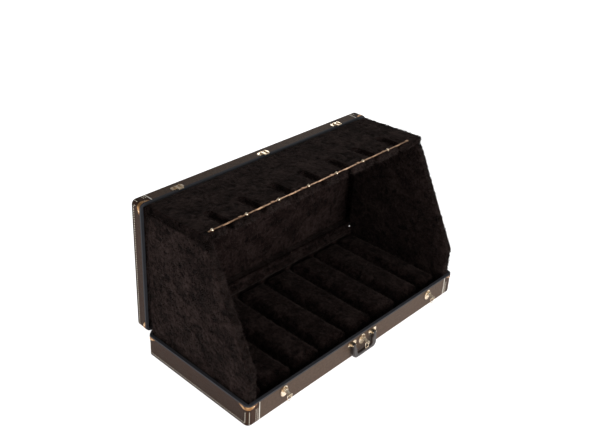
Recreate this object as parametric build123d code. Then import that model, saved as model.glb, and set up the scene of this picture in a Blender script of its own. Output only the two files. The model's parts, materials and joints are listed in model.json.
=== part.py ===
from build123d import *
import math
import os

# A hard case that opens into a rack for seven guitars: the tray lies on the floor, the lid stands
# up behind it on three hinges, two plush side panels stand in the tray and carry a slotted neck
# panel. Millimetres, +X along the case, -Y is the front, +Z up, origin under the middle of it all.

# ------------------------------------------------------------------ the case
LENGTH = 1000.0
CASE_DEPTH = 450.0
TRAY_HEIGHT = 77.0
LID_HEIGHT = 45.0
CORNER_RADIUS = 16.0
EDGE_RADIUS = 5.0
COVER = 1.2
BOARD = 7.0
LINING = 3.0
WALL = COVER + BOARD
END_COVER_WRAP = 45.0
PIPING = 3.0

# rim trim and corner caps
TRIM_HEIGHT = 5.0
TRIM_WEB = 1.5
TRIM_LIP = 0.8
CAP_OUT = 1.4
CAP_DROP = 16.0
CAP_ARM = 38.0

# hinges between tray and lid
HINGE_XS = (-330.0, 0.0, 330.0)
HINGE_OFFSET = 4.5
HINGE_WIDTH = 60.0
HINGE_LEAF = 1.5
HINGE_LEAF_REACH = 27.0
HINGE_LEAF_SETBACK = 4.0
MIDDLE_KNUCKLE = 19.6
KNUCKLE_GAP = 0.4
KNUCKLE_RADIUS = 3.0
KNUCKLE_WEB = 2.9
HINGE_PIN_RADIUS = 1.5
HINGE_PIN_CLEARANCE = 0.06
HINGE_PIN_END = 1.0

# handle
HANDLE_SPAN = 100.0
HANDLE_EYE = 12.0
HANDLE_LEG = 18.0
HANDLE_BAR = 13.0
HANDLE_THICK = 12.0
HANDLE_BOTTOM = 50.0
HANDLE_SHOULDER = 9.0
HANDLE_PIVOT_Z = 56.0
HANDLE_PIVOT_OUT = 9.0
HANDLE_LEAN = 6.5
HANDLE_ROUND = 4.0
HANDLE_OUTER_BEND = 18.0
HANDLE_INNER_BEND = 8.0
HANDLE_EYE_BEND = 5.5
BRACKET_WIDTH = 40.0
BRACKET_HEIGHT = 20.0
BRACKET_PLATE = 1.5
BRACKET_ROUND = 8.0
BRACKET_RIVET_X = 14.5
LUG_RADIUS = 3.6
LUG_THICK = 2.0
LUG_GAP = 0.5
HANDLE_PIN_RADIUS = 1.8
RIVET_RADIUS = 3.0
RIVET_HEIGHT = 1.6

# latches
LATCH_XS = (-355.0, 0.0, 355.0)
LATCH_Z = 50.0
LATCH_PLATE_SIZE = (30.0, 38.0)
LATCH_PLATE = 1.5
LATCH_PIN_OUT = 6.0
LATCH_PIN_Z = 58.0
LATCH_PIN_RADIUS = 1.2
LATCH_RIVET_Z = 15.5
LATCH_RIVET_RADIUS = 2.2
LATCH_RIVET_HEIGHT = 1.1
EAR_RADIUS = 3.4
EAR_THICK = 1.6
EAR_GAP = 0.6
EAR_FOOT = 6.0
LEVER_HALF_WIDTH = 6.0
LEVER_LENGTH = 19.0
LEVER_DROOP = 25.0
LEVER_THICK = 1.8
LEVER_KNUCKLE_RADIUS = 2.8
LEVER_BOSS_RADIUS = 2.6
LEVER_LIP = 5.0
LEVER_LIP_RADIUS = 1.3
LOOP_WIRE_RADIUS = 1.1
LOOP_DROP = 22.0
LOOP_SIDE_OUT = 4.0
LOOP_TAPER = 4.0
LOOP_END_IN = 3.0
LOOP_TOP_BEND = 2.2
LOOP_BOTTOM_BEND = 4.0
SMALL_CLEARANCE = 0.08

# lid catches
CATCH_SIZE = (44.0, 18.0)
CATCH_PLATE = 1.4
CATCH_ROUND = 7.0
CATCH_SETBACK = 15.0
CATCH_HALF_WIDTH = 10.0
CATCH_TONGUE_Y = -19.0
CATCH_TONGUE_LOW = 1.2
CATCH_TONGUE_TOP = 3.0
CATCH_RIB = 2.0
CATCH_RIB_TOP = 6.5
CATCH_CURL_RADIUS = 1.8
CATCH_RIVET_X = 16.0
CATCH_RIVET_RADIUS = 2.4
CATCH_RIVET_HEIGHT = 1.2

# ------------------------------------------------------------------ the rack
PANEL_OUTER_X = 486.0
PANEL_THICK = 24.0
PANEL_PLUSH = 5.0
PANEL_TILT = 3.0
NECK_FRONT = 198.0
NECK_FRONT_TOP_Z = 541.0
NECK_DEPTH = 249.0
NECK_REST_GAP = 0.8
SIDE_BOTTOM_Z = WALL + LINING + 0.6
SIDE_FRONT = 14.0
SIDE_KINK_Z = 178.0
SIDE_TOP_FRONT = 193.0
SIDE_REAR = 447.0
SIDE_REAR_IN_TRAY = 437.5
SIDE_STEP_Z = TRAY_HEIGHT + 3.0

SLOT_COUNT = 7
SLOT_PITCH = 127.0
FIRST_KNOB_X = -452.0
SLOT_FROM_KNOB = 57.0
SLOT_WIDTH = 32.0
SLOT_DEPTH = 100.0

# swing gates over the slots
GATE_SETBACK = 7.0
GATE_LENGTH = 110.0
GATE_TAIL = 14.0
GATE_WIDTH = 5.0
GATE_THICK = 1.8
GATE_LIFT = 1.0
GATE_EYE_RADIUS = 5.5
SCREW_RADIUS = 1.6
SCREW_HEAD_RADIUS = 5.0
SCREW_HEAD_HEIGHT = 5.0
SCREW_DEPTH = 14.0
SHOULDER_RADIUS = 3.2
KEEPER_LENGTH = 12.0
KEEPER_WALL = 1.0
KEEPER_GAP = 0.4
KEEPER_PAST_TIP = 0.5

# floor pads
PAD_TOP_Z = 67.0
PAD_GROOVE = 9.0
PAD_FRONT = 40.0
PAD_REAR = 436.0
PAD_SIDE_GAP = 1.5
PAD_FLOOR_GAP = 0.3
PAD_EDGE_RADIUS = 12.0

# derived places
LEVER_COS = math.cos(math.radians(LEVER_DROOP))
LEVER_SIN = math.sin(math.radians(LEVER_DROOP))
LOOP_PIVOT_OUT = LATCH_PIN_OUT + LEVER_LENGTH * LEVER_COS
LOOP_PIVOT_Z = LATCH_PIN_Z - LEVER_LENGTH * LEVER_SIN
LATCH_STANDOUT = LOOP_PIVOT_OUT + LEVER_LIP * LEVER_COS + LEVER_LIP_RADIUS
FRONT_Y = (LATCH_STANDOUT - CASE_DEPTH - HINGE_OFFSET - LID_HEIGHT) / 2
HINGE_Y = FRONT_Y + CASE_DEPTH + HINGE_OFFSET
HINGE_Z = TRAY_HEIGHT
KNOB_XS = [FIRST_KNOB_X + SLOT_PITCH * n for n in range(SLOT_COUNT)]
SLOT_XS = [x + SLOT_FROM_KNOB for x in KNOB_XS]

NODES = {}


def block(x0, x1, y0, y1, z0, z1):
    """A box between two corners."""
    size = (x1 - x0, y1 - y0, z1 - z0)
    return Pos((x0 + x1) / 2, (y0 + y1) / 2, (z0 + z1) / 2) * Box(*size)


def rod_x(x0, x1, y, z, radius):
    """A round bar along X."""
    return Pos((x0 + x1) / 2, y, z) * Rot(0, 90, 0) * Cylinder(radius, x1 - x0)


def group(shapes):
    """Separate solids kept together under one node."""
    return Compound([solid for shape in shapes for solid in shape.solids()])


# ------------------------------------------------------------------ half cases
# Tray and lid are the same box with different heights. Each is drawn closed side down, with x along
# the case, y from its own front wall and z from its closed side to its rim, and is placed after.


def plain_box(inset, top):
    """The sharp-cornered box, inset on its sides and closed side, and cut off at z = top."""
    half = LENGTH / 2 - inset
    return block(-half, half, inset, CASE_DEPTH - inset, inset, top)


def rounded_box(inset, top):
    """The rounded outer shape, inset on its sides and closed side, and cut off at z = top."""
    box = plain_box(inset, top)
    box = fillet(box.edges().filter_by(Axis.Z), CORNER_RADIUS - inset)
    return fillet(box.faces().sort_by(Axis.Z)[0].edges(), EDGE_RADIUS - inset)


def rim_band(low, high):
    """All of the case between two heights."""
    return block(-LENGTH, LENGTH, -50, CASE_DEPTH + 50, low, high)


def cover_shell(height):
    """The covering over the sides and the closed side."""
    top = height - TRIM_WEB
    return rounded_box(0, top) - rounded_box(COVER, top + 1)


def cover_region(height, side):
    """Where one piece of covering lies: side is -1 or 1 for the ends and 0 for the middle."""
    edge = LENGTH / 2 - END_COVER_WRAP
    low, high = {-1: (-LENGTH, -edge), 0: (-edge, edge), 1: (edge, LENGTH)}[side]
    return block(low, high, -50, CASE_DEPTH + 50, -50, height + 50)


def boards(height):
    """Five plywood boards: the closed side, the two long walls, and the ends between them."""
    top = height - TRIM_WEB
    tub = rounded_box(COVER, top) - plain_box(WALL, top + 1)
    far = LENGTH
    below = block(-far, far, -50, CASE_DEPTH + 50, 0, WALL)
    front = block(-far, far, -50, WALL, WALL, height)
    rear = block(-far, far, CASE_DEPTH - WALL, CASE_DEPTH + 50, WALL, height)
    left = block(-far, 0, WALL, CASE_DEPTH - WALL, WALL, height)
    right = block(0, far, WALL, CASE_DEPTH - WALL, WALL, height)
    return [tub & region for region in (below, front, rear, left, right)]


def lining(height):
    """The plush glued to the inside of the walls and the closed side."""
    top = height - TRIM_HEIGHT
    return plain_box(WALL, top) - plain_box(WALL + LINING, top + 1)


def hinge_notches(y, height):
    """Room for the hinges through the rim trim of one long wall."""
    half = HINGE_WIDTH / 2 + 2
    return [block(x - half, x + half, y - 15, y + 15, height - 30, height + 5) for x in HINGE_XS]


def rim_trim(height, hinge_y):
    """A metal channel folded over the rim of the walls, notched for the hinges."""
    ring = rounded_box(-TRIM_LIP, height) & rim_band(height - TRIM_HEIGHT, height)
    walls = rounded_box(0, height - TRIM_WEB) - plain_box(WALL, height + 1)
    trim = ring - plain_box(WALL + TRIM_LIP, height + 1) - walls
    for notch in hinge_notches(hinge_y, height):
        trim -= notch
    return trim


def corner_caps(height):
    """Four pressed corner pieces below the rim trim: two leaf-shaped arms each, bent round the corner."""
    shell = rounded_box(-CAP_OUT, height) & rim_band(height - CAP_DROP, height - TRIM_HEIGHT)
    shell -= rounded_box(0, height + 1)
    fold = CORNER_RADIUS * 0.35
    leaf = extrude(Ellipse(CAP_ARM, CAP_DROP), fold, both=True)
    caps = []
    for side in (-1, 1):
        end = side * LENGTH / 2
        for y in (0.0, CASE_DEPTH):
            along_x = Pos(end, y, height) * Rot(90, 0, 0) * leaf
            along_y = Pos(end, y, height) * Rot(0, 0, 90) * Rot(90, 0, 0) * leaf
            caps.append(shell & (along_x + along_y))
    return group(caps)


def piping(height):
    """The raised cord sewn along the edge of each end covering, up the two long walls."""
    strips = []
    half = PIPING / 2
    for side in (-1, 1):
        x = side * (LENGTH / 2 - END_COVER_WRAP)
        for y, out in ((0.0, -1), (CASE_DEPTH, 1)):
            strip = block(
                x - half, x + half, min(y, y + out * half), max(y, y + out * half),
                EDGE_RADIUS, height - TRIM_HEIGHT - 0.5,
            )
            outer = strip.faces().sort_by(Axis.Y)[-1 if out > 0 else 0]
            strips.append(fillet(outer.edges().filter_by(Axis.Z), half * 0.8))
    return group(strips)


# ------------------------------------------------------------------ hinges


def in_place_tray(shape):
    """Moves a half case drawn closed side down to the tray's place."""
    return Pos(0, FRONT_Y, 0) * shape


def in_place_lid(shape):
    """Stands a half case up on its hinge wall, with its rim to the front."""
    return Pos(0, HINGE_Y + LID_HEIGHT, HINGE_Z + HINGE_OFFSET) * Rot(90, 0, 0) * shape


def hinge_tray_leaves():
    """The leaf on the tray's rear wall with its two outer knuckles, and the pin through all three."""
    parts = []
    wall = HINGE_Y - HINGE_OFFSET
    half = HINGE_WIDTH / 2
    for x in HINGE_XS:
        top = HINGE_Z - HINGE_LEAF_SETBACK
        leaf = block(x - half, x + half, wall, wall + HINGE_LEAF, HINGE_Z - HINGE_LEAF_REACH, top)
        for side in (-1, 1):
            inner = x + side * (MIDDLE_KNUCKLE / 2 + KNUCKLE_GAP)
            low = min(inner, x + side * half)
            high = max(inner, x + side * half)
            tongue = block(low, high, wall, wall + HINGE_LEAF, top - 1, HINGE_Z)
            web = block(low, high, wall, HINGE_Y, HINGE_Z - KNUCKLE_WEB, HINGE_Z)
            leaf += tongue + web + rod_x(low, high, HINGE_Y, HINGE_Z, KNUCKLE_RADIUS)
        hole = HINGE_PIN_RADIUS + HINGE_PIN_CLEARANCE
        leaf -= rod_x(x - half - 1, x + half + 1, HINGE_Y, HINGE_Z, hole)
        parts.append(leaf)
        pin = half + HINGE_PIN_END
        parts.append(rod_x(x - pin, x + pin, HINGE_Y, HINGE_Z, HINGE_PIN_RADIUS))
    return group(parts)


def hinge_lid_leaves():
    """The leaf under the lid's bottom wall with the middle knuckle."""
    parts = []
    top = HINGE_Z + HINGE_OFFSET
    half = HINGE_WIDTH / 2
    mid = MIDDLE_KNUCKLE / 2
    front = HINGE_Y + HINGE_LEAF_SETBACK
    for x in HINGE_XS:
        leaf = block(x - half, x + half, front, HINGE_Y + HINGE_LEAF_REACH, top - HINGE_LEAF, top)
        tongue = block(x - mid, x + mid, HINGE_Y, front + 1, top - HINGE_LEAF, top)
        web = block(x - mid, x + mid, HINGE_Y, HINGE_Y + KNUCKLE_WEB, HINGE_Z, top)
        knuckle = rod_x(x - mid, x + mid, HINGE_Y, HINGE_Z, KNUCKLE_RADIUS)
        hole = rod_x(x - mid - 1, x + mid + 1, HINGE_Y, HINGE_Z, HINGE_PIN_RADIUS + HINGE_PIN_CLEARANCE)
        parts.append(leaf + tongue + web + knuckle - hole)
    return group(parts)


# ------------------------------------------------------------------ handle


def handle_grip():
    """The moulded U grip, drawn hanging straight down from its pins and then leaned out a little."""
    half = HANDLE_SPAN / 2
    eye = HANDLE_EYE / 2
    window = half + eye - HANDLE_LEG
    top = eye + 5
    waist = HANDLE_SHOULDER + 8
    outer = Pos(0, (eye - HANDLE_BOTTOM) / 2) * Rectangle(2 * (half + eye), HANDLE_BOTTOM + eye)
    outer = fillet(outer.vertices().group_by(Axis.Y)[0], HANDLE_OUTER_BEND)
    right_side = [
        (window, HANDLE_BAR - HANDLE_BOTTOM), (window, -waist),
        (half - eye, -HANDLE_SHOULDER), (half - eye, top),
    ]
    left_side = [(-x, y) for x, y in reversed(right_side)]
    inner = make_face(Polyline(*right_side, *left_side, close=True))
    inner = fillet(inner.vertices().group_by(Axis.Y)[0], HANDLE_INNER_BEND)
    outline = outer - inner
    outline = fillet(outline.vertices().group_by(Axis.Y)[-1], HANDLE_EYE_BEND)
    grip = extrude(outline, HANDLE_THICK / 2, both=True)
    rims = grip.faces().filter_by(Axis.Z).edges()
    grip = Rot(90, 0, 0) * fillet(rims, HANDLE_ROUND)
    for side in (-1, 1):
        x = side * half
        grip -= rod_x(x - eye - 1, x + eye + 1, 0, 0, HANDLE_PIN_RADIUS + SMALL_CLEARANCE)
    y = FRONT_Y - HANDLE_PIVOT_OUT
    return Pos(0, y, HANDLE_PIVOT_Z) * Rot(-HANDLE_LEAN, 0, 0) * grip


def handle_brackets():
    """Two round-ended plates, each with a pair of lugs, a riveted pin and two rivet heads."""
    parts = []
    y = FRONT_Y - HANDLE_PIVOT_OUT
    for side in (-1, 1):
        x = side * HANDLE_SPAN / 2
        outline = RectangleRounded(BRACKET_WIDTH, BRACKET_HEIGHT, BRACKET_ROUND)
        plate = Pos(x, FRONT_Y, HANDLE_PIVOT_Z) * Rot(90, 0, 0) * extrude(outline, BRACKET_PLATE)
        for edge in (-1, 1):
            lug_x = x + edge * (HANDLE_EYE + LUG_THICK + 2 * LUG_GAP) / 2
            low = lug_x - LUG_THICK / 2
            high = lug_x + LUG_THICK / 2
            lug = rod_x(low, high, y, HANDLE_PIVOT_Z, LUG_RADIUS)
            lug += block(low, high, y, FRONT_Y - 1, HANDLE_PIVOT_Z - LUG_RADIUS, HANDLE_PIVOT_Z + LUG_RADIUS)
            rivet = Rot(90, 0, 0) * rivet_head(RIVET_RADIUS, RIVET_HEIGHT)
            plate += lug + Pos(x + edge * BRACKET_RIVET_X, FRONT_Y - BRACKET_PLATE, HANDLE_PIVOT_Z) * rivet
        pin = HANDLE_EYE / 2 + LUG_GAP + LUG_THICK + 1
        parts.append(plate + rod_x(x - pin, x + pin, y, HANDLE_PIVOT_Z, HANDLE_PIN_RADIUS))
    return group(parts)


def rivet_head(radius, height):
    """A low dome, flat side at z = 0, that reaches a little below for a sound join."""
    ball = (radius * radius + height * height) / (2 * height)
    dome = Pos(0, 0, height - ball) * Sphere(ball)
    return dome & Pos(0, 0, height / 2 - 0.1) * Box(3 * radius, 3 * radius, height + 0.2)


# ------------------------------------------------------------------ latches


def latch_plates():
    """Three oval base plates with two ears and a riveted pin each, and a rivet near each end."""
    parts = []
    width, height = LATCH_PLATE_SIZE
    for x in LATCH_XS:
        outline = Ellipse(width / 2, height / 2)
        plate = Pos(x, FRONT_Y, LATCH_Z) * Rot(90, 0, 0) * extrude(outline, LATCH_PLATE)
        pin_y = FRONT_Y - LATCH_PIN_OUT
        foot = LATCH_PIN_Z - EAR_FOOT
        for side in (-1, 1):
            ear_x = x + side * (LEVER_HALF_WIDTH + EAR_GAP + EAR_THICK / 2)
            low = ear_x - EAR_THICK / 2
            high = ear_x + EAR_THICK / 2
            plate += rod_x(low, high, pin_y, LATCH_PIN_Z, EAR_RADIUS)
            plate += block(low, high, pin_y, FRONT_Y - 1, foot, LATCH_PIN_Z + EAR_RADIUS)
            plate += block(low, high, FRONT_Y - LATCH_PLATE, FRONT_Y, foot, LATCH_PIN_Z + EAR_FOOT)
        for end in (-1, 1):
            rivet = Rot(90, 0, 0) * rivet_head(LATCH_RIVET_RADIUS, LATCH_RIVET_HEIGHT)
            plate += Pos(x, FRONT_Y - LATCH_PLATE, LATCH_Z + end * LATCH_RIVET_Z) * rivet
        reach = LEVER_HALF_WIDTH + EAR_GAP + EAR_THICK + 0.2
        parts.append(plate + rod_x(x - reach, x + reach, pin_y, LATCH_PIN_Z, LATCH_PIN_RADIUS))
    return group(parts)


def latch_lever(x):
    """A pressed lever, swung out: a knuckle on the plate's pin, a boss for the loop, and a lip."""
    pin = (-LATCH_PIN_OUT, LATCH_PIN_Z)
    boss = (-LOOP_PIVOT_OUT, LOOP_PIVOT_Z)
    lip = (-LOOP_PIVOT_OUT - LEVER_LIP * LEVER_COS, LOOP_PIVOT_Z - LEVER_LIP * LEVER_SIN)
    wide = 2 * LEVER_HALF_WIDTH

    def bar(start, end):
        length = math.dist(start, end)
        angle = math.degrees(math.atan2(end[1] - start[1], end[0] - start[0]))
        middle = ((start[0] + end[0]) / 2, (start[1] + end[1]) / 2)
        return Pos(0, *middle) * Rot(angle, 0, 0) * Box(wide, length, LEVER_THICK)

    half = LEVER_HALF_WIDTH
    shape = rod_x(-half, half, *pin, LEVER_KNUCKLE_RADIUS) + bar(pin, boss)
    shape += rod_x(-half, half, *boss, LEVER_BOSS_RADIUS) + bar(boss, lip)
    shape += rod_x(-half, half, *lip, LEVER_LIP_RADIUS)
    shape -= rod_x(-half - 1, half + 1, *pin, LATCH_PIN_RADIUS + SMALL_CLEARANCE)
    shape -= rod_x(-half - 1, half + 1, *boss, LOOP_WIRE_RADIUS + SMALL_CLEARANCE)
    return Pos(x, FRONT_Y, 0) * shape


def latch_loop(x):
    """The wire loop: two ends turned into the lever's boss, sides that close in, a round bottom."""
    side = LEVER_HALF_WIDTH + LOOP_SIDE_OUT
    bottom = side - LOOP_TAPER
    low = LOOP_PIVOT_Z - LOOP_DROP
    start = LEVER_HALF_WIDTH - LOOP_END_IN
    y = FRONT_Y - LOOP_PIVOT_OUT
    points = [
        (x - start, y, LOOP_PIVOT_Z), (x - side, y, LOOP_PIVOT_Z), (x - bottom, y, low),
        (x + bottom, y, low), (x + side, y, LOOP_PIVOT_Z), (x + start, y, LOOP_PIVOT_Z),
    ]
    bends = [LOOP_TOP_BEND, LOOP_BOTTOM_BEND, LOOP_BOTTOM_BEND, LOOP_TOP_BEND]
    path = FilletPolyline(*points, radius=bends)
    section = Plane(origin=points[0], z_dir=(-1, 0, 0)) * Circle(LOOP_WIRE_RADIUS)
    return sweep(section, path=path)


# ------------------------------------------------------------------ lid catches


def lid_catches():
    """Three catches on the lid's top wall: a plate, and a ribbed tongue curled up just past the rim."""
    parts = []
    place = (HINGE_Y + CATCH_SETBACK, HINGE_Z + HINGE_OFFSET + CASE_DEPTH)
    half = CATCH_HALF_WIDTH
    tip = CATCH_TONGUE_Y
    for x in LATCH_XS:
        catch = extrude(RectangleRounded(*CATCH_SIZE, CATCH_ROUND), CATCH_PLATE)
        catch += block(-half, half, tip, -4, CATCH_TONGUE_LOW, CATCH_TONGUE_TOP)
        catch += rod_x(-half, half, tip, CATCH_TONGUE_TOP + 1, CATCH_CURL_RADIUS)
        for side in (-1, 1):
            low = min(side * half, side * (half - CATCH_RIB))
            catch += block(low, low + CATCH_RIB, tip, 5, CATCH_TONGUE_LOW, CATCH_RIB_TOP)
            rivet = rivet_head(CATCH_RIVET_RADIUS, CATCH_RIVET_HEIGHT)
            catch += Pos(side * CATCH_RIVET_X, 0, CATCH_PLATE) * rivet
        parts.append(Pos(x, *place) * catch)
    return group(parts)


# ------------------------------------------------------------------ side panels


def side_profile(inset):
    """The side panel's outline in the YZ plane; inset leaves room for the plush on all but the foot."""
    lean = math.radians(PANEL_TILT)
    under = NECK_FRONT_TOP_Z - PANEL_THICK / math.cos(lean) - NECK_REST_GAP

    def top_z(y):
        return under - (y - NECK_FRONT) * math.tan(lean)

    slope = math.atan2(top_z(SIDE_TOP_FRONT) - SIDE_KINK_Z, SIDE_TOP_FRONT - SIDE_FRONT)
    along = inset / math.sin(slope)
    front = SIDE_FRONT + inset
    kink = SIDE_KINK_Z - inset * math.tan((math.pi / 2 - slope) / 2)
    top_inset = inset / math.cos(lean)
    top_front_z = top_z(SIDE_TOP_FRONT) - top_inset
    top_front = SIDE_FRONT + along + (top_front_z - SIDE_KINK_Z) / math.tan(slope)
    rear = SIDE_REAR - inset
    step = SIDE_REAR_IN_TRAY - inset
    corners = [
        (front, SIDE_BOTTOM_Z), (front, kink), (top_front, top_front_z), (rear, top_z(rear) - top_inset),
        (rear, SIDE_STEP_Z + inset), (step, SIDE_STEP_Z + inset), (step, SIDE_BOTTOM_Z),
    ]
    return make_face(Plane.YZ * Polyline(*[(FRONT_Y + y, z) for y, z in corners], close=True))


def side_board(side):
    """The plywood core of a side panel."""
    thick = PANEL_THICK - 2 * PANEL_PLUSH
    core = extrude(side_profile(PANEL_PLUSH), thick / 2, both=True)
    return Pos(side * (PANEL_OUTER_X - PANEL_THICK / 2), 0, 0) * core


def side_plush(side):
    """The plush wrapped round a side panel's faces and edges, open at the foot."""
    thick = PANEL_THICK - 2 * PANEL_PLUSH
    skin = extrude(side_profile(0), PANEL_THICK / 2, both=True)
    skin -= extrude(side_profile(PANEL_PLUSH), thick / 2, both=True)
    return Pos(side * (PANEL_OUTER_X - PANEL_THICK / 2), 0, 0) * skin


# ------------------------------------------------------------------ neck panel
# The neck panel is drawn flat, x along the case, y from its front edge and z = 0 on its top face, and
# is then tipped and set on the side panels.


def on_neck_panel(shape):
    """Puts a piece drawn on the flat neck panel in its tipped place."""
    return Pos(0, FRONT_Y + NECK_FRONT, NECK_FRONT_TOP_Z) * Rot(-PANEL_TILT, 0, 0) * shape


def comb(inset, rear_inset):
    """The slotted panel, inset on every face but the rear one."""
    half = PANEL_OUTER_X - inset
    depth = NECK_DEPTH / math.cos(math.radians(PANEL_TILT))
    panel = block(-half, half, inset, depth - rear_inset, inset - PANEL_THICK, -inset)
    radius = SLOT_WIDTH / 2 + inset
    for x in SLOT_XS:
        end = SLOT_DEPTH - SLOT_WIDTH / 2
        panel -= block(x - radius, x + radius, -10, end, -PANEL_THICK - 1, 1)
        panel -= Pos(x, end, -PANEL_THICK / 2) * Cylinder(radius, PANEL_THICK + 2)
    return panel


def neck_board():
    """The slotted plywood core."""
    return on_neck_panel(comb(PANEL_PLUSH, 0))


def neck_plush():
    """The plush wrapped round the slotted core, open along its rear edge."""
    return on_neck_panel(comb(0, 0) - comb(PANEL_PLUSH, 0))


def gate_pivot_screws():
    """Seven domed screws with a shoulder under each gate."""
    screws = []
    top = GATE_LIFT + GATE_THICK + 0.4
    for x in KNOB_XS:
        shank = Pos(0, 0, (top - SCREW_DEPTH) / 2) * Cylinder(SCREW_RADIUS, top + SCREW_DEPTH)
        shoulder = Pos(0, 0, GATE_LIFT / 2 - 0.1) * Cylinder(SHOULDER_RADIUS, GATE_LIFT - 0.2)
        head = Pos(0, 0, top - 0.2) * rivet_head(SCREW_HEAD_RADIUS, SCREW_HEAD_HEIGHT)
        screws.append(Pos(x, GATE_SETBACK, 0) * (shank + shoulder + head))
    return on_neck_panel(group(screws))


def neck_gate(x):
    """A flat bar with an eye on its screw, a short tail to the left and a round tip to the right."""
    half = GATE_WIDTH / 2
    bar = Rectangle(GATE_LENGTH + GATE_TAIL - GATE_WIDTH, GATE_WIDTH)
    outline = Pos((GATE_LENGTH - GATE_TAIL) / 2, 0) * bar
    outline += Pos(GATE_LENGTH - half, 0) * Circle(half)
    outline += Pos(-GATE_TAIL + half, 0) * Circle(half)
    outline += Circle(GATE_EYE_RADIUS)
    outline -= Circle(SCREW_RADIUS + SMALL_CLEARANCE)
    return on_neck_panel(Pos(x, GATE_SETBACK, GATE_LIFT) * extrude(outline, GATE_THICK))


def gate_keepers():
    """Seven small clips, open to the front, that hold the gates' tips."""
    clips = []
    height = GATE_LIFT + GATE_THICK + KEEPER_GAP + KEEPER_WALL
    front = GATE_SETBACK - GATE_WIDTH / 2 - 1
    rear = GATE_SETBACK + GATE_WIDTH / 2 + KEEPER_GAP + KEEPER_WALL
    floor = GATE_LIFT - KEEPER_GAP
    for x in KNOB_XS:
        start = x + GATE_LENGTH - KEEPER_LENGTH + KEEPER_PAST_TIP
        end = start + KEEPER_LENGTH
        clip = block(start, end, front, rear, 0, height)
        clip -= block(start - 1, end + 1, front - 1, rear - KEEPER_WALL, floor, height - KEEPER_WALL)
        clips.append(clip)
    return on_neck_panel(group(clips))


# ------------------------------------------------------------------ floor pads


def floor_pad(x0, x1):
    """A foam pad with rounded upper edges."""
    base = WALL + LINING + PAD_FLOOR_GAP
    pad = block(x0, x1, FRONT_Y + PAD_FRONT, FRONT_Y + PAD_REAR, base, PAD_TOP_Z)
    return fillet(pad.faces().sort_by(Axis.Z)[-1].edges(), PAD_EDGE_RADIUS)


def floor_pads():
    """Pads between the grooves that lie under the neck slots, with narrower ones at both ends."""
    end = PANEL_OUTER_X - PANEL_THICK - PAD_SIDE_GAP
    edges = [-end] + SLOT_XS + [end]
    pads = {}
    for n in range(len(edges) - 1):
        left = edges[n] + (PAD_GROOVE / 2 if n else 0)
        right = edges[n + 1] - (PAD_GROOVE / 2 if n < len(edges) - 2 else 0)
        pads["floor_pad_%d" % (n + 1)] = floor_pad(left, right)
    return pads


# ------------------------------------------------------------------ assembly


def half_case(name, height, place, hinge_y, wall_names):
    """Every piece that a half case is made of, in its place."""
    for wall_name, wall in zip(wall_names, boards(height)):
        NODES[name + "_" + wall_name] = place(wall)
    shell = cover_shell(height)
    for side, cover_name in ((-1, "cover_left"), (1, "cover_right")):
        NODES[name + "_" + cover_name] = place(shell & cover_region(height, side))
    NODES[name + "_lining"] = place(lining(height))
    NODES[name + "_rim_trim"] = place(group([rim_trim(height, hinge_y)]))
    NODES[name + "_corner_caps"] = place(corner_caps(height))
    NODES[name + "_piping"] = place(piping(height))
    return shell & cover_region(height, 0)


def build():
    """Fills NODES with every piece."""
    middle = half_case(
        "tray", TRAY_HEIGHT, in_place_tray, CASE_DEPTH,
        ("base_board", "front_board", "rear_board", "left_board", "right_board"),
    )
    rear = CASE_DEPTH - EDGE_RADIUS
    floor_sheet = block(-LENGTH, LENGTH, EDGE_RADIUS, rear, -1, COVER)
    NODES["tray_cover_middle"] = in_place_tray(group([middle - floor_sheet]))
    NODES["tray_bottom_cover"] = in_place_tray(middle & floor_sheet)
    middle = half_case(
        "lid", LID_HEIGHT, in_place_lid, 0.0,
        ("back_board", "bottom_board", "top_board", "left_board", "right_board"),
    )
    NODES["lid_cover_middle"] = in_place_lid(middle)

    NODES["hinge_tray_leaves"] = hinge_tray_leaves()
    NODES["hinge_lid_leaves"] = hinge_lid_leaves()
    NODES["lid_catches"] = lid_catches()
    NODES["handle_brackets"] = handle_brackets()
    NODES["handle_grip"] = handle_grip()
    NODES["latch_plates"] = latch_plates()
    for n, x in enumerate(LATCH_XS, 1):
        NODES["latch_lever_%d" % n] = latch_lever(x)
        NODES["latch_loop_%d" % n] = latch_loop(x)

    for name, side in (("left", -1), ("right", 1)):
        NODES[name + "_side_board"] = side_board(side)
        NODES[name + "_side_plush"] = side_plush(side)
    NODES["neck_board"] = neck_board()
    NODES["neck_plush"] = neck_plush()
    NODES["gate_pivot_screws"] = gate_pivot_screws()
    NODES["gate_keepers"] = gate_keepers()
    for n, x in enumerate(KNOB_XS, 1):
        NODES["neck_gate_%d" % n] = neck_gate(x)
    NODES.update(floor_pads())


build()
os.makedirs("parts", exist_ok=True)
for node, shape in NODES.items():
    export_step(shape, "parts/%s.step" % node)
print(len(NODES), "nodes")
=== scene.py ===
import json
import math

import bmesh
import bpy
import numpy as np
from mathutils import Matrix, Vector, noise


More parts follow.
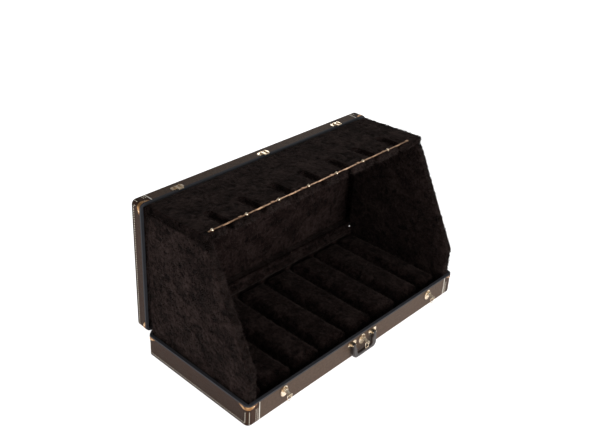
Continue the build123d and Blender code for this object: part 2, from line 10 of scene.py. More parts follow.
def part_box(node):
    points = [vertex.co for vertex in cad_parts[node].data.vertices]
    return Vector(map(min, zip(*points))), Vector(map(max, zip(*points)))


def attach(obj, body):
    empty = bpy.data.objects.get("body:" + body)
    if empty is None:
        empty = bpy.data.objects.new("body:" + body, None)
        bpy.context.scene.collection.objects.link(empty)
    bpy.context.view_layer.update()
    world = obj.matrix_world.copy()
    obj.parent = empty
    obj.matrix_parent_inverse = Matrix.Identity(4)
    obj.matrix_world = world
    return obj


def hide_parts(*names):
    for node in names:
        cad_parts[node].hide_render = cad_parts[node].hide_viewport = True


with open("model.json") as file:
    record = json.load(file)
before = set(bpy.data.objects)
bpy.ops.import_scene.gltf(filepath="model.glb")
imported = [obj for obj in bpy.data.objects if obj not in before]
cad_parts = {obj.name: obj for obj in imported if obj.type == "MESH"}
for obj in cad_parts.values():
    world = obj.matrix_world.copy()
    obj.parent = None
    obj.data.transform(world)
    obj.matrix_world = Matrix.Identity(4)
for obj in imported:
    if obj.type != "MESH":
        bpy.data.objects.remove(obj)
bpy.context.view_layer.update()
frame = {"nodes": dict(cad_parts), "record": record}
nodes = frame["nodes"]

# ------------------------------------------------------------------------------------ camera
# Stands in front of the left end of the rack and above it, and looks down along the tray
# through a normal lens.
view_from = Vector((-1.71546, -1.46210, 1.69829))
view_azimuth, view_elevation, view_roll = (math.radians(a) for a in (-48.04, 30.11, 3.28))
back = Vector((
    math.sin(view_azimuth) * math.cos(view_elevation),
    -math.cos(view_azimuth) * math.cos(view_elevation),
    math.sin(view_elevation),
))
right = Vector((0, 0, 1)).cross(back).normalized()
facing = Matrix((right, back.cross(right), back)).transposed() @ Matrix.Rotation(view_roll, 3, "Z")
camera = bpy.data.objects.new("camera", bpy.data.cameras.new("camera"))
camera.matrix_world = Matrix.Translation(view_from) @ facing.to_4x4()
camera.data.lens = 50.57
camera.data.sensor_width = 36.0
bpy.context.scene.collection.objects.link(camera)
bpy.context.scene.camera = camera
bpy.context.scene.view_settings.view_transform = "Standard"


# ------------------------------------------------------------------------------------ studio
# A white floor that glows, as a lit sweep does, a dim white room, two large low softboxes in
# front and beyond the left end, and a small one behind the right end for glints on the metal.
def mesh_piece(name, points, faces, material):
    """A new object with this mesh, in place in the frame."""
    mesh = bpy.data.meshes.new(name)
    mesh.from_pydata(points, [], faces)
    mesh.update()
    mesh.shade_smooth()
    mesh.materials.append(material)
    piece = bpy.data.objects.new(name, mesh)
    bpy.context.scene.collection.objects.link(piece)
    return piece


def new_finish(name, colour, roughness, metallic=0.0):
    """A material with one Principled shader set to plain values, to which nodes are then added."""
    finish = bpy.data.materials.new(name)
    finish.use_nodes = True
    shader = finish.node_tree.nodes["Principled BSDF"]
    shader.inputs["Base Color"].default_value = (*colour, 1)
    shader.inputs["Roughness"].default_value = roughness
    shader.inputs["Metallic"].default_value = metallic
    return finish


floor_finish = new_finish("floor_paint", (0.92, 0.92, 0.92), 0.7)
floor_glow = floor_finish.node_tree.nodes["Principled BSDF"]
floor_glow.inputs["Emission Color"].default_value = (1, 1, 1, 1)
floor_glow.inputs["Emission Strength"].default_value = 0.85
half_floor = 14.0
floor = mesh_piece(
    "floor",
    [(-half_floor, -half_floor, 0), (half_floor, -half_floor, 0), (half_floor, half_floor, 0),
     (-half_floor, half_floor, 0)],
    [(0, 1, 2, 3)],
    floor_finish,
)

room = bpy.data.worlds.new("room")
room.use_nodes = True
room.node_tree.nodes["Background"].inputs["Color"].default_value = (1, 1, 1, 1)
room.node_tree.nodes["Background"].inputs["Strength"].default_value = 0.3
bpy.context.scene.world = room


def softbox(name, place, aim, size, power):
    """A square area light that faces a point."""
    lamp = bpy.data.lights.new(name, "AREA")
    lamp.size = size
    lamp.energy = power
    light = bpy.data.objects.new(name, lamp)
    light.location = place
    light.rotation_euler = (Vector(place) - Vector(aim)).to_track_quat("Z", "Y").to_euler()
    bpy.context.scene.collection.objects.link(light)


softbox("front_softbox", (0.1, -2.9, 1.0), (0, 0, 0.2), 2.0, 66)
softbox("left_softbox", (-3.0, 0.3, 0.8), (0, 0, 0.2), 1.5, 24)
softbox("rear_softbox", (2.6, 2.4, 2.1), (0, 0, 0.4), 1.0, 11)


# ------------------------------------------------------------------------------------ boards
# Birch plywood, 7 mm in the case and 14 mm in the panels, sawn to size and sanded. Most of it is
# covered, and the faces and laminated edges show where a panel is lifted out.
def add_node(finish, kind, out=0, **settings):
    """Adds a shader node; settings are sockets to link, socket values, or the node's own options."""
    tree = finish.node_tree
    made = tree.nodes.new("ShaderNode" + kind)
    for key, value in settings.items():
        label = key.replace("_", " ")
        if hasattr(made, key) and not isinstance(value, bpy.types.NodeSocket):
            setattr(made, key, value)
        elif isinstance(value, bpy.types.NodeSocket):
            tree.links.new(value, made.inputs[label])
        else:
            made.inputs[label].default_value = value
    return made.outputs[out]


def set_shader(finish, **sockets):
    """Links or sets sockets of the material's Principled shader."""
    shader = finish.node_tree.nodes["Principled BSDF"]
    for key, value in sockets.items():
        socket = shader.inputs[key.replace("_", " ")]
        if isinstance(value, bpy.types.NodeSocket):
            finish.node_tree.links.new(value, socket)
        else:
            socket.default_value = value


def place_in_metres(finish, stretch=(1, 1, 1)):
    """The surface's own coordinates in metres, scaled along each axis."""
    coordinates = finish.node_tree.nodes.new("ShaderNodeTexCoord").outputs["Object"]
    return add_node(finish, "Mapping", Vector=coordinates, Scale=stretch)


def ramp(finish, factor, *stops):
    """A colour ramp through (position, colour) stops."""
    made = finish.node_tree.nodes.new("ShaderNodeValToRGB")
    finish.node_tree.links.new(factor, made.inputs["Fac"])
    elements = made.color_ramp.elements
    while len(elements) < len(stops):
        elements.new(0.5)
    for element, (position, colour) in zip(elements, stops):
        element.position = position
        element.color = (*colour, 1)
    return made.outputs["Color"]


def bump(finish, height, depth, strength):
    """Bump from a height field that is depth metres deep."""
    return add_node(finish, "Bump", Height=height, Distance=depth, Strength=strength)


def wear_finish(names, finish):
    """Gives carried-over CAD pieces their material."""
    for name in names:
        nodes[name].data.materials.clear()
        nodes[name].data.materials.append(finish)


birch = new_finish("birch_plywood", (0.62, 0.45, 0.27), 0.55)
along_grain = place_in_metres(birch, (6, 90, 90))
figure = add_node(birch, "TexNoise", Vector=along_grain, Scale=1.0, Detail=8.0, Distortion=0.6)
plies = add_node(birch, "TexWave", Vector=place_in_metres(birch), Scale=110.0, Distortion=1.5)
birch_colour = ramp(birch, figure, (0.3, (0.42, 0.27, 0.14)), (0.55, (0.66, 0.48, 0.29)),
                    (0.75, (0.74, 0.58, 0.38)))
shade = ramp(birch, plies, (0.0, (0.72, 0.68, 0.62)), (0.5, (1, 1, 1)))
birch_mixed = add_node(birch, "MixRGB", blend_type="MULTIPLY", Fac=0.35, Color1=birch_colour,
                       Color2=shade)
set_shader(birch, Base_Color=birch_mixed, Normal=bump(birch, figure, 0.0003, 0.5))
wear_finish([name for name in nodes if name.endswith("_board")], birch)

# ---------------------------------------------------------------------------------- covering
# Vinyl cloth with a pebbled leather grain, glued over the boards: a greyer brown on the long middle
# piece, and on the two end pieces a darker, redder copy of it that is painted shade; scuffed a little paler
# along the edges.


def vinyl(name, dark, light):
    """Pebble-grained vinyl between two colours."""
    finish = new_finish(name, dark, 0.5)
    surface = place_in_metres(finish)
    warp = add_node(finish, "TexNoise", out=1, Vector=surface, Scale=700.0, Detail=2.0)
    wobble = add_node(finish, "VectorMath", operation="SCALE", Vector=warp, Scale=0.0008)
    bent = add_node(finish, "VectorMath", operation="ADD")
    finish.node_tree.links.new(surface, bent.node.inputs[0])
    finish.node_tree.links.new(wobble, bent.node.inputs[1])
    pebbles = add_node(finish, "TexVoronoi", feature="DISTANCE_TO_EDGE", Vector=bent, Scale=620.0)
    crease_depth_and_shade = ramp(finish, pebbles, (0.0, (0, 0, 0)), (0.18, (0.8, 0.8, 0.8)), (0.5, (1, 1, 1)))
    blotch = add_node(finish, "TexNoise", Vector=surface, Scale=16.0, Detail=6.0, Roughness=0.65)
    tone = ramp(finish, blotch, (0.32, dark), (0.68, light))
    # Painted shade: the creases between the pebbles are darkened in the colour, as well as sunk by the bump.
    colour = add_node(finish, "MixRGB", blend_type="MULTIPLY", Fac=0.55, Color1=tone, Color2=crease_depth_and_shade)
    edge = add_node(finish, "NewGeometry", out=7)
    scuffs = add_node(finish, "TexNoise", Vector=surface, Scale=140.0, Detail=4.0)
    ridge = ramp(finish, edge, (0.5, (0, 0, 0)), (0.62, (1, 1, 1)))
    worn = add_node(finish, "Math", operation="MULTIPLY")
    finish.node_tree.links.new(ridge, worn.node.inputs[0])
    finish.node_tree.links.new(scuffs, worn.node.inputs[1])
    scuffed = add_node(finish, "MixRGB", Fac=worn, Color1=colour,
                       Color2=(light[0] * 2.2, light[1] * 2.1, light[2] * 2.0, 1))
    rough = add_node(finish, "MapRange", Value=blotch, To_Min=0.42, To_Max=0.6)
    set_shader(finish, Base_Color=scuffed, Roughness=rough, Specular_IOR_Level=0.12,
               Normal=bump(finish, crease_depth_and_shade, 0.00025, 0.8))
    return finish


# Painted shade: the end pieces get a darker, redder copy of the vinyl than the long middle piece.
end_vinyl_painted_shade = vinyl("brown_vinyl_painted_shade", (0.017, 0.0062, 0.0022), (0.028, 0.0112, 0.0044))
middle_vinyl = vinyl("grey_brown_vinyl", (0.033, 0.019, 0.013), (0.051, 0.033, 0.023))
wear_finish(["tray_cover_left", "tray_cover_right", "lid_cover_left", "lid_cover_right"], end_vinyl_painted_shade)
wear_finish(["tray_cover_middle", "tray_bottom_cover", "lid_cover_middle"], middle_vinyl)

# --------------------------------------------------------------------------------- stitching
# Waxed cream thread, machine sewn in a lockstitch up the sides and along the closed edge of each
# end, once beside each corner and twice beside the piping. Each stitch sinks where the needle
# went through.
STITCH_PITCH = 0.008
STITCH_LENGTH = 0.0058
THREAD_RADIUS = 0.00095
SEAM_INSET = 0.012
CAP_REACH = 0.018
CORNER_RADIUS = 0.016
EDGE_RADIUS = 0.005
ROWS_FROM_PIPING = (0.0065, 0.0135)
CORNER_ROW = 0.008
THREAD_SIDES = 6
STITCH_STATIONS = (-1.0, -0.75, 0.0, 0.75, 1.0)

thread = new_finish("cream_thread", (0.72, 0.66, 0.55), 0.75)
twist = add_node(thread, "TexWave", Vector=place_in_metres(thread), Scale=900.0,
                 bands_direction="DIAGONAL")
# Painted shade: the thread's colour is darker in the grooves of its twist, the same bands that its bump
# sinks.
twist_shaded_tone = ramp(thread, twist, (0.0, (0.50, 0.43, 0.33)), (1.0, (0.80, 0.75, 0.65)))
set_shader(thread, Base_Color=twist_shaded_tone, Normal=bump(thread, twist, 0.0002, 0.6))


def sew(points, faces, path, outward):
    """Adds a row of stitches along a path of corners; outward points away from the covering."""
    outward = Vector(outward)
    ring = THREAD_SIDES
    spans = len(STITCH_STATIONS) - 1
    for start, end in zip(path, path[1:]):
        start, end = Vector(start), Vector(end)
        run = (end - start).normalized()
        across = run.cross(outward)
        for n in range(int((end - start).length / STITCH_PITCH)):
            middle = start + run * (n + 0.5) * STITCH_PITCH
            first = len(points)
            for t in STITCH_STATIONS:
                at_hole = abs(t) == 1
                thick = THREAD_RADIUS * (0.55 if at_hole else 1)
                lift = -1.2 * THREAD_RADIUS if at_hole else 0.35 * THREAD_RADIUS
                centre = middle + run * t * STITCH_LENGTH / 2 + outward * lift
                for k in range(ring):
                    angle = math.tau * k / ring
                    points.append(centre + thick * (across * math.cos(angle) + outward * math.sin(angle)))
            for row in range(spans):
                for k in range(ring):
                    a = first + row * ring + k
                    b = first + row * ring + (k + 1) % ring
                    faces.append((a, b, b + ring, a + ring))
            faces.append([first + k for k in reversed(range(ring))])
            faces.append([first + spans * ring + k for k in range(ring)])


def on_corner(inset):
    """How far the rounded corner falls back at this inset, and how it leans there."""
    lean = math.asin(max(0.0, 1 - inset / CORNER_RADIUS))
    return CORNER_RADIUS * (1 - math.cos(lean)), lean


def sew_half(name, body, wall_axis, walls, closed, rim):
    """All seams of one half case: closed and rim are where its closed side and its rim stop."""
    rim_axis = 3 - wall_axis
    into = 1 if rim > closed else -1
    points, faces = [], []

    def spot(x, wall, height):
        place = Vector((x, 0, 0))
        place[wall_axis], place[rim_axis] = wall, height
        return place

    fall, lean = on_corner(SEAM_INSET)
    top = rim - into * CAP_REACH
    low = closed + into * SEAM_INSET
    for side in (-1, 1):
        end = side * (case_end - fall)
        for wall, out in ((walls[0], -1), (walls[1], 1)):
            away = spot(side * math.cos(lean), out * math.sin(lean), 0)
            line = wall - out * SEAM_INSET
            sew(points, faces, [spot(end, line, low), spot(end, line, top)], away)
        across = [spot(side * case_end, line, low)
                  for line in (walls[0] + SEAM_INSET, walls[1] - SEAM_INSET)]
        sew(points, faces, across, (side, 0, 0))
        for wall, out in ((walls[0], -1), (walls[1], 1)):
            for inset in ROWS_FROM_PIPING:
                x = side * (wrap_edge + inset)
                run = [spot(x, wall, closed + into * EDGE_RADIUS), spot(x, wall, top)]
                sew(points, faces, run, spot(0, out, 0))
            back, tilt = on_corner(CORNER_ROW)
            x, line = side * (case_end - CORNER_ROW), wall - out * back
            run = [spot(x, line, closed + into * EDGE_RADIUS), spot(x, line, top)]
            sew(points, faces, run, spot(side * math.sin(tilt), out * math.cos(tilt), 0))
    stitching = mesh_piece(name, points, faces, thread)
    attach(stitching, body)


tray_low, tray_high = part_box("tray_cover_left")
lid_low, lid_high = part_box("lid_cover_left")
case_end = -tray_low.x
wrap_edge = -tray_high.x
sew_half("tray_stitching", "tray", 1, (tray_low.y, tray_high.y), tray_low.z, tray_high.z)
sew_half("lid_stitching", "lid", 2, (lid_low.z, lid_high.z), lid_high.y, lid_low.y)

# ----------------------------------------------------------------------------------- piping
# A cream vinyl cord laid over the edge of each end covering, up the front and rear walls, with
# a little dirt rubbed into its fine ribs.
cream_vinyl = new_finish("cream_piping", (0.74, 0.70, 0.61), 0.42)
rubbed = add_node(cream_vinyl, "TexNoise", Vector=place_in_metres(cream_vinyl), Scale=60.0, Detail=6.0)
ribs = add_node(cream_vinyl, "TexWave", Vector=place_in_metres(cream_vinyl), Scale=260.0,
                bands_direction="Z")
set_shader(
    cream_vinyl,
    Base_Color=ramp(cream_vinyl, rubbed, (0.3, (0.48, 0.43, 0.35)), (0.6, (0.76, 0.73, 0.66))),
    Normal=bump(cream_vinyl, ribs, 0.0002, 0.4),
)
wear_finish(["tray_piping", "lid_piping"], cream_vinyl)

# --------------------------------------------------------------------------------- rim trim
# A dark blue-grey painted channel folded over the rim of each half case. Along its corners it is
# paler: partly rubbed down to metal where the halves close on each other, partly a painted highlight.
dark_paint = new_finish("rim_paint", (0.045, 0.048, 0.058), 0.4)
surface = place_in_metres(dark_paint)
rubs = add_node(dark_paint, "TexNoise", Vector=surface, Scale=55.0, Detail=8.0, Roughness=0.7)
hairlines = add_node(dark_paint, "TexNoise", Vector=place_in_metres(dark_paint, (3, 260, 260)),
                     Scale=3.0, Detail=5.0)
paint_tone = ramp(dark_paint, rubs, (0.36, (0.006, 0.006, 0.007)), (0.6, (0.012, 0.0122, 0.0145)),
                  (0.78, (0.05, 0.051, 0.060)))
# Paler along the edges that pointiness picks out: partly rubbed wear, partly a painted highlight.
edge_wear_and_highlight = ramp(dark_paint, add_node(dark_paint, "NewGeometry", out=7), (0.5, (0, 0, 0)),
                  (0.6, (0.4, 0.4, 0.4)))
paint_worn_and_highlit = add_node(dark_paint, "MixRGB", Fac=edge_wear_and_highlight, Color1=paint_tone,
                      Color2=(0.09, 0.093, 0.105, 1))
set_shader(
    dark_paint,
    Base_Color=paint_worn_and_highlit,
    Roughness=add_node(dark_paint, "MapRange", Value=rubs, To_Min=0.45, To_Max=0.65),
    Specular_IOR_Level=0.06,
    Normal=bump(dark_paint, hairlines, 0.0003, 0.5),
)
wear_finish(["tray_rim_trim", "lid_rim_trim"], dark_paint)

# ------------------------------------------------------------------------------ corner caps
# Corner pieces pressed from brass-plated steel and held by one small domed rivet in each arm.
# The plating is polished on the high spots and browned in the low ones.
RIVET_RADIUS = 0.0021
RIVET_HEIGHT = 0.0011
RIVET_SINK = 0.0002
RIVET_FROM_CORNER = 0.024
RIVET_FROM_RIM = 0.0040

brass = new_finish("brass_plate", (0.80, 0.63, 0.41), 0.24, metallic=1.0)
surface = place_in_metres(brass)
tarnish = add_node(brass, "TexNoise", Vector=surface, Scale=90.0, Detail=8.0, Roughness=0.65)
brushed = add_node(brass, "TexNoise", Vector=surface, Scale=900.0, Detail=3.0)
brass_tone = ramp(brass, tarnish, (0.34, (0.30, 0.20, 0.12)), (0.50, (0.76, 0.62, 0.45)),
                  (0.70, (0.94, 0.88, 0.76)))
set_shader(
    brass,
    Base_Color=brass_tone,
    Roughness=add_node(brass, "MapRange", Value=tarnish, From_Min=0.3, From_Max=0.7, To_Min=0.38,
                       To_Max=0.16),
    Normal=bump(brass, brushed, 0.0001, 0.25),
)
browned = new_finish("browned_brass", (0.60, 0.40, 0.20), 0.3, metallic=1.0)
stain = add_node(browned, "TexNoise", Vector=place_in_metres(browned), Scale=70.0, Detail=8.0)
set_shader(
    browned,
    Base_Color=ramp(browned, stain, (0.36, (0.16, 0.07, 0.03)), (0.52, (0.42, 0.22, 0.09)),
                    (0.72, (0.80, 0.56, 0.30))),
    Roughness=add_node(browned, "MapRange", Value=stain, From_Min=0.3, From_Max=0.7, To_Min=0.45,
                       To_Max=0.2),
    Normal=bump(browned, stain, 0.0004, 0.5),
)
wear_finish(["tray_corner_caps", "lid_corner_caps"], browned)


def dome(points, faces, centre, outward, radius, height, slot=0.0):
    """Adds a domed head that stands on a surface; slot is the depth of a screwdriver slot."""
    outward = Vector(outward).normalized()
    side = outward.orthogonal().normalized()
    up = outward.cross(side)
    first = len(points)
    around, rings = 20, 5
    for ring in range(rings):
        lift = math.sin(ring / rings * math.pi / 2) if ring else -0.3
        spread = math.cos(ring / rings * math.pi / 2) if ring else 1.0
        for k in range(around):
            angle = math.tau * k / around
            x, y = spread * math.cos(angle), spread * math.sin(angle)
            sink = slot if ring and abs(y) < 0.2 else 0.0
            points.append(
                Vector(centre) + radius * (side * x + up * y) + outward * (lift * height - sink)
            )
    points.append(Vector(centre) + outward * (height - slot))
    for ring in range(rings - 1):
        for k in range(around):
            a, b = first + ring * around + k, first + ring * around + (k + 1) % around
            faces.append((a, b, b + around, a + around))
    last = first + (rings - 1) * around
    for k in range(around):
        faces.append((last + k, last + (k + 1) % around, len(points) - 1))
    faces.append([first + k for k in reversed(range(around))])


cap_low, cap_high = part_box("tray_corner_caps")
lid_cap_low, lid_cap_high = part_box("lid_corner_caps")

points, faces = [], []
z = cap_high.z - RIVET_FROM_RIM
for side in (-1, 1):
    for y, out in ((cap_low.y, -1), (cap_high.y, 1)):
        dome(points, faces, (side * (cap_high.x - RIVET_SINK), y - out * RIVET_FROM_CORNER, z),
             (side, 0, 0), RIVET_RADIUS, RIVET_HEIGHT)
        dome(points, faces, (side * (cap_high.x - RIVET_FROM_CORNER), y - out * RIVET_SINK, z),
             (0, out, 0), RIVET_RADIUS, RIVET_HEIGHT)
tray_cap_rivets = mesh_piece("tray_cap_rivets", points, faces, brass)
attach(tray_cap_rivets, "tray")

points, faces = [], []
y = lid_cap_low.y + RIVET_FROM_RIM
for side in (-1, 1):
    for z, out in ((lid_cap_low.z, -1), (lid_cap_high.z, 1)):
        dome(points, faces, (side * (lid_cap_high.x - RIVET_SINK), y, z - out * RIVET_FROM_CORNER),
             (side, 0, 0), RIVET_RADIUS, RIVET_HEIGHT)
        dome(points, faces, (side * (lid_cap_high.x - RIVET_FROM_CORNER), y, z - out * RIVET_SINK),
             (0, 0, out), RIVET_RADIUS, RIVET_HEIGHT)
lid_cap_rivets = mesh_piece("lid_cap_rivets", points, faces, brass)
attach(lid_cap_rivets, "lid")

# ----------------------------------------------------------------------------------- hinges
# Three brass butt hinges: a leaf on the tray's rear wall, a leaf under the lid, a steel pin
# through the knuckles, and four slotted screws in each leaf.
HINGE_XS = (-0.33, 0.0, 0.33)
SCREWS_ACROSS = (-0.022, -0.0075, 0.0075, 0.022)
SCREW_FROM_EDGE = 0.008
SCREW_RADIUS = 0.0032
SCREW_HEIGHT = 0.0012
SCREW_SLOT = 0.0007
LEAF_THICK = 0.0015
wear_finish(["hinge_tray_leaves", "hinge_lid_leaves"], brass)

leaf_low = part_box("hinge_tray_leaves")[0]
leaf_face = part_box("tray_cover_middle")[1].y + LEAF_THICK
points, faces = [], []
for x in HINGE_XS:
    for across in SCREWS_ACROSS:
        spot = (x + across, leaf_face, leaf_low.z + SCREW_FROM_EDGE)
        dome(points, faces, spot, (0, 1, 0), SCREW_RADIUS, SCREW_HEIGHT, SCREW_SLOT)
hinge_tray_screws = mesh_piece("hinge_tray_screws", points, faces, brass)
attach(hinge_tray_screws, "tray")

under_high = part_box("hinge_lid_leaves")[1]
points, faces = [], []
for x in HINGE_XS:
    for across in SCREWS_ACROSS:
        spot = (x + across, under_high.y - SCREW_FROM_EDGE, under_high.z - LEAF_THICK)
        dome(points, faces, spot, (0, 0, -1), SCREW_RADIUS, SCREW_HEIGHT, SCREW_SLOT)
hinge_lid_screws = mesh_piece("hinge_lid_screws", points, faces, brass)
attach(hinge_lid_screws, "lid")

# ----------------------------------------------------------------------------------- lining
# Black pile plush glued to the inside of both half cases. The pile lies in brushed patches. Its colour is
# painted shade, near black, where it stands, in its sunk dents and in the low spots of its strands, and
# painted sheen, a little paler, where it lies flat.
PILE_PAINTED_SHADE = (0.0022, 0.0010, 0.0009)
PILE_MIDDLE = (0.0088, 0.0046, 0.0040)
PILE_PAINTED_SHEEN = (0.024, 0.015, 0.0135)
LINING = 0.003
PILE_SEED = 7
EDGE_ON = 0.8
EDGE_DENSITY = 4.0
EDGE_LENGTH = 1.45

plush = new_finish("black_plush", PILE_MIDDLE, 1.0)
nap_and_shade = plush.node_tree.nodes.new("ShaderNodeAttribute")
nap_and_shade.attribute_name = "nap_and_shade"
strands = add_node(plush, "TexNoise", Vector=place_in_metres(plush), Scale=650.0, Detail=3.0, Roughness=0.7)
mottle_shade_and_sheen = add_node(plush, "Math", operation="MULTIPLY_ADD")
plush.node_tree.links.new(strands, mottle_shade_and_sheen.node.inputs[0])
mottle_shade_and_sheen.node.inputs[1].default_value = 0.35
plush.node_tree.links.new(nap_and_shade.outputs["Fac"], mottle_shade_and_sheen.node.inputs[2])
# Painted light: the darkest stop is painted shade where the pile stands, in its dents and in the low spots of
# the strand bump; the palest is painted sheen where it lies flat.
plush_colour = ramp(plush, mottle_shade_and_sheen, (0.28, PILE_PAINTED_SHADE), (0.62, PILE_MIDDLE), (1.0, PILE_PAINTED_SHEEN))
set_shader(
    plush,
    Base_Color=plush_colour,
    Specular_IOR_Level=0.05,
    Sheen_Weight=0.09,
    Sheen_Roughness=0.45,
    Sheen_Tint=(0.80, 0.64, 0.58, 1),
    Normal=bump(plush, strands, 0.0012, 0.7),
)


def apply_modifiers(piece):
    """Turns the piece's mesh into what its modifiers make of it."""
    graph = bpy.context.evaluated_depsgraph_get()
    mesh = bpy.data.meshes.new_from_object(piece.evaluated_get(graph))
    piece.modifiers.clear()
    piece.data = mesh
    return mesh


def piece_from(name, shape):
    """A new object from a bmesh, which is freed."""
    data = bpy.data.meshes.new(name)
    shape.to_mesh(data)
    shape.free()
    piece = bpy.data.objects.new(name, data)
    bpy.context.scene.collection.objects.link(piece)
    return piece


def box_shape(low, high):
    """A bmesh of the box between two corners."""
    shape = bmesh.new()
    for vertex in bmesh.ops.create_cube(shape, size=1.0)["verts"]:
        for k in range(3):
            vertex.co[k] = low[k] if vertex.co[k] < 0 else high[k]
    return shape


def fine_mesh(piece, voxel):
    """Replaces the mesh by an even one of small quads with its hard edges just softened."""
    remesh = piece.modifiers.new("even_mesh", "REMESH")
    remesh.mode = "VOXEL"
    remesh.voxel_size = voxel
    apply_modifiers(piece).shade_smooth()


def vertex_arrays(mesh):
    """The mesh's points and normals as arrays."""
    points = np.empty(len(mesh.vertices) * 3)
    mesh.vertices.foreach_get("co", points)
    normals = np.empty(len(mesh.vertices) * 3)
    mesh.vertex_normals.foreach_get("vector", normals)
    return points.reshape(-1, 3), normals.reshape(-1, 3)


def nap_at(point):
    """How the pile lies at a point, from 0 where it stands to 1 where it lies flat; the plush paints shade at
    0 and sheen at 1.
    """
    patches = noise.noise(point * 17 + Vector((3, 1, 7)))
    swirl = noise.noise(point * 48 + Vector((patches * 2, 5, 0)))
    clumps = noise.noise(point * 130)
    dents = max(0.0, noise.noise(point * 55 + Vector((9, 2, 4))) - 0.25)
    return 0.50 + 0.30 * patches + 0.26 * swirl + 0.46 * clumps - 1.5 * dents


def raise_pile(mesh, height=0.0016, still=None):
    """Lifts the surface into clumps of pile and stores how it lies; still(point) holds points back."""
    points, normals = vertex_arrays(mesh)
    lies = np.array([nap_at(Vector(p)) for p in points])
    move = height * (0.35 + 0.9 * (lies - 0.5))
    if still:
        move *= np.array([0.0 if still(p) else 1.0 for p in points])
    mesh.vertices.foreach_set("co", (points + normals * move[:, None]).ravel())
    stored = mesh.attributes.new("nap_and_shade", "FLOAT", "POINT")
    stored.data.foreach_set("value", lies)
    mesh.update()


def grow_tufts(name, ground, count, length, edges=None, lie=(0, 0, -1), seed=PILE_SEED, keep=None):
    """Closed little spikes of pile, three-sided, rooted in the ground mesh and leaning the way it lies.
    edges names the axis across a panel: pile on faces that don't look along it is denser and longer."""
    draw = np.random.default_rng(seed)
    points, normals = vertex_arrays(ground)
    ground.calc_loop_triangles()
    corners = np.empty(len(ground.loop_triangles) * 3, int)
    ground.loop_triangles.foreach_get("vertices", corners)
    corners = corners.reshape(-1, 3)
    a, b, c = (points[corners[:, k]] for k in range(3))
    area = np.linalg.norm(np.cross(b - a, c - a), axis=1)
    if keep:
        area = area * keep((a + b + c) / 3)
    if edges is not None:
        area = area * np.where(np.abs(normals[corners[:, 0], edges]) < EDGE_ON, EDGE_DENSITY, 1.0)
    pick = draw.choice(len(corners), count, p=area / area.sum())
    u, v = draw.random(count), draw.random(count)
    over = u + v > 1
    u[over], v[over] = 1 - u[over], 1 - v[over]
    root = a[pick] + (b - a)[pick] * u[:, None] + (c - a)[pick] * v[:, None]
    out = normals[corners[pick, 0]]
    lies = np.array([nap_at(Vector(p)) for p in root])
    swirl = np.array([noise.noise_vector(Vector(p) * 22) + 1.2 * noise.noise_vector(Vector(p) * 105)
                      for p in root])
    flow = np.array(lie) + 1.3 * swirl + 0.45 * draw.normal(size=(count, 3))
    flow -= out * (flow * out).sum(1)[:, None]
    flow /= np.linalg.norm(flow, axis=1)[:, None] + 1e-9
    reach = length * (0.55 + 0.75 * draw.random(count))
    if edges is not None:
        reach *= np.where(np.abs(out[:, edges]) < EDGE_ON, EDGE_LENGTH, 1.0)
    rise = np.clip(0.75 - 0.55 * lies + 0.2 * draw.normal(size=count), 0.22, 0.95)
    tip = root + out * (reach * rise)[:, None] + flow * (reach * np.sqrt(1 - rise ** 2))[:, None]
    side = np.cross(out, flow)
    thick = 0.00050 + 0.00030 * draw.random(count)[:, None]
    sunk = root - out * 0.0006
    base = [sunk + thick * flow * -1.0, sunk + thick * (0.5 * flow + 0.87 * side),
            sunk + thick * (0.5 * flow - 0.87 * side)]
    spike = np.stack([*base, tip], axis=1).reshape(-1, 3)
    first = np.arange(count)[:, None] * 4
    sides = [first + np.array([k]) for k in ((0, 1, 3), (1, 2, 3), (2, 0, 3), (0, 2, 1))]
    tufts = mesh_piece(name, spike.tolist(), np.concatenate(sides).tolist(), plush)
    stored = tufts.data.attributes.new("nap_and_shade", "FLOAT", "POINT")
    # Painted shade and highlight: each tuft's three root points are given a lower value and its tip a higher
    # one, so the plush colours its root darker and its tip paler.
    shade = lies[:, None] + np.array([-0.25, -0.25, -0.25, 0.20])
    stored.data.foreach_set("value", shade.ravel())
    return tufts


def lining_shell(name, low, high, rim, step=0.005):
    """The open tub of plush inside a half case; rim names the axis and end that stay open."""
    axis, end = rim
    inner_low, inner_high = Vector(low), Vector(high)
    for k in range(3):
        if k != axis:
            inner_low[k] += LINING
            inner_high[k] -= LINING
    if end > 0:
        inner_low[axis] += LINING
    else:
        inner_high[axis] -= LINING
    mesh = box_shape(inner_low, inner_high)
    opening = [f for f in mesh.faces if abs(f.normal[axis]) > 0.9 and f.normal[axis] * end > 0]
    bmesh.ops.delete(mesh, geom=opening, context="FACES_ONLY")
    bmesh.ops.reverse_faces(mesh, faces=mesh.faces)
    for k in range(3):
        span = inner_high[k] - inner_low[k]
        cuts = max(1, round(span / step))
        for n in range(1, cuts):
            place = Vector((0, 0, 0))
            place[k] = inner_low[k] + span * n / cuts
            normal = Vector((0, 0, 0))
            normal[k] = 1
            bmesh.ops.bisect_plane(
                mesh, geom=mesh.verts[:] + mesh.edges[:] + mesh.faces[:], plane_co=place, plane_no=normal
            )
    piece = piece_from(name, mesh)
    piece.data.shade_smooth()
    piece.data.materials.append(plush)
    raise_pile(piece.data, 0.0014)
    return piece


def thicken(piece, thickness):
    """Gives an open skin of plush its backing, on the side away from its normals."""
    solid = piece.modifiers.new("backing", "SOLIDIFY")
    solid.thickness = thickness
    solid.offset = -1
    solid.use_even_offset = False
    apply_modifiers(piece)


for name, rim, tuft_count in (("tray_lining", (2, 1), 18000), ("lid_lining", (1, -1), 26000)):
    low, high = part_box(name)
    piece = lining_shell(name + "_plush", low, high, rim)
    tufts = grow_tufts(name + "_pile", piece.data, tuft_count, 0.0055)
    thicken(piece, LINING - 0.0004)
    body = "tray" if name.startswith("tray") else "lid"
    for part in (piece, tufts):
        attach(part, body)
    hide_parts(name)

